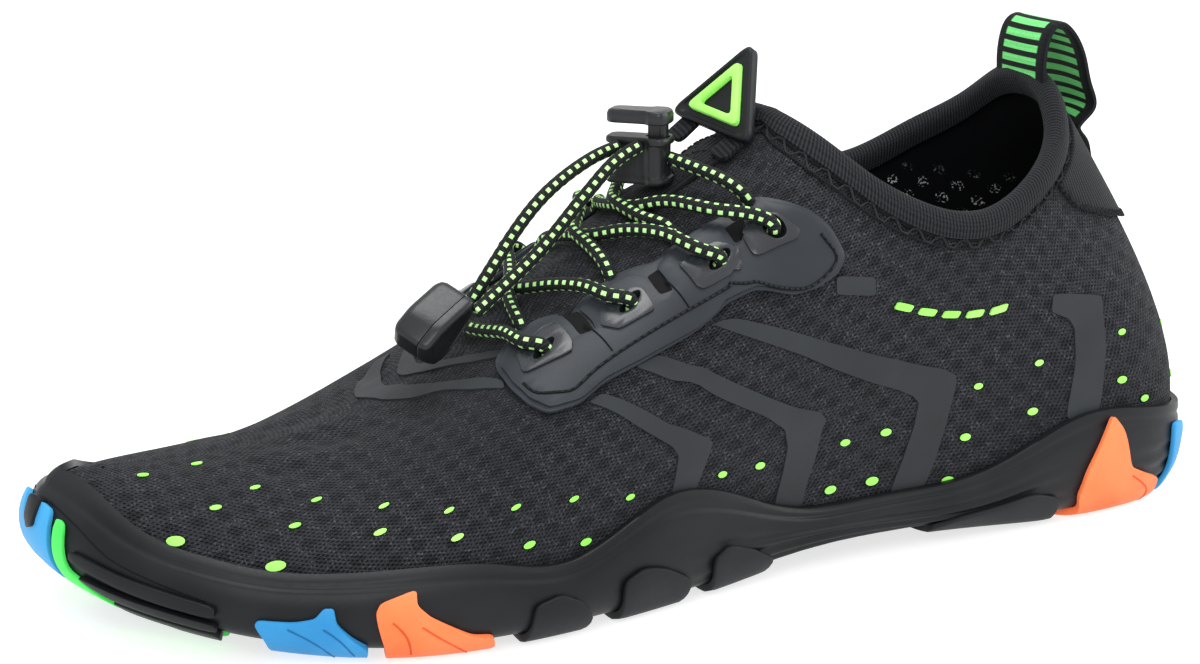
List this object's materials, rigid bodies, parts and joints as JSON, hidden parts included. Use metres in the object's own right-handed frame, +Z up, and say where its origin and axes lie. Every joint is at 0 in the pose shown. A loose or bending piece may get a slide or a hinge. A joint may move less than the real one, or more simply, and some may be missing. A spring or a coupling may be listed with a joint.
{
  "type": "water shoe",
  "caption": "Left water shoe with a knit upper, elastic lace and cord lock, heel pull loop and a rubber sole with coloured lugs.",
  "frame": {"origin": "on the floor plane, under the middle of the heel's flat pad", "axes": "+X toward the toe, +Y toward the shoe's outer side, +Z up"},
  "size_m": [0.2817, 0.103, 0.1144],
  "materials": {
    "knit": "matte",
    "black_rubber": "satin",
    "film": "satin",
    "webbing": "matte",
    "rib_tape": "matte",
    "foam": "matte",
    "lace": "matte",
    "plastic": "satin",
    "blue_rubber": "satin",
    "orange_rubber": "satin",
    "green_rubber": "satin"
  },
  "bodies": {
    "shoe": {"badge": "black_rubber", "badge_emblem": "green_rubber", "collar_binding": "rib_tape", "cord_lock_body": "plastic", "eyestay_inner": "film", "eyestay_outer": "film", "forefoot_pad": "black_rubber", "heel_pad": "black_rubber", "heel_patch": "black_rubber", "insole": "foam", "instep_strap": "rib_tape", "lace_bar": "lace", "lace_clip_base": "plastic", "lace_clip_lid": "plastic", "lace_cross_lower": "lace", "lace_cross_middle": "lace", "lace_cross_upper": "lace", "lace_end_high": "lace", "lace_end_low": "lace", "lace_top_inner": "lace", "lace_top_outer": "lace", "lug_arch_black_inner": "black_rubber", "lug_arch_black_outer": "black_rubber", "lug_ball_black_inner": "black_rubber", "lug_ball_black_outer": "black_rubber", "lug_fore_black_inner": "black_rubber", "lug_fore_black_outer": "black_rubber", "lug_fore_blue_inner": "blue_rubber", "lug_fore_blue_outer": "blue_rubber", "lug_fore_orange_inner": "orange_rubber", "lug_fore_orange_outer": "orange_rubber", "lug_heel_blue_inner": "blue_rubber", "lug_heel_blue_outer": "blue_rubber", "lug_heel_orange_inner": "orange_rubber", "lug_heel_orange_outer": "orange_rubber", "lug_toe_blue": "blue_rubber", "lug_toe_green_inner": "green_rubber", "lug_toe_green_outer": "green_rubber", "lug_toe_rib_high_inner": "black_rubber", "lug_toe_rib_high_outer": "black_rubber", "lug_toe_rib_low_inner": "black_rubber", "lug_toe_rib_low_outer": "black_rubber", "lug_toe_rib_middle_inner": "black_rubber", "lug_toe_rib_middle_outer": "black_rubber", "lug_waist_black_inner": "black_rubber", "lug_waist_black_outer": "black_rubber", "outsole": "black_rubber", "pull_loop": "webbing", "upper": "knit"},
    "lock_button": {"cord_lock_button": "plastic"}
  },
  "joints": [
    {"name": "lock_button_press", "type": "slide", "parent": "shoe", "child": "lock_button", "axis": [0, 0, 1], "range_m": [-0.0025, 0], "stiffness_N_per_m": 300}
  ]
}
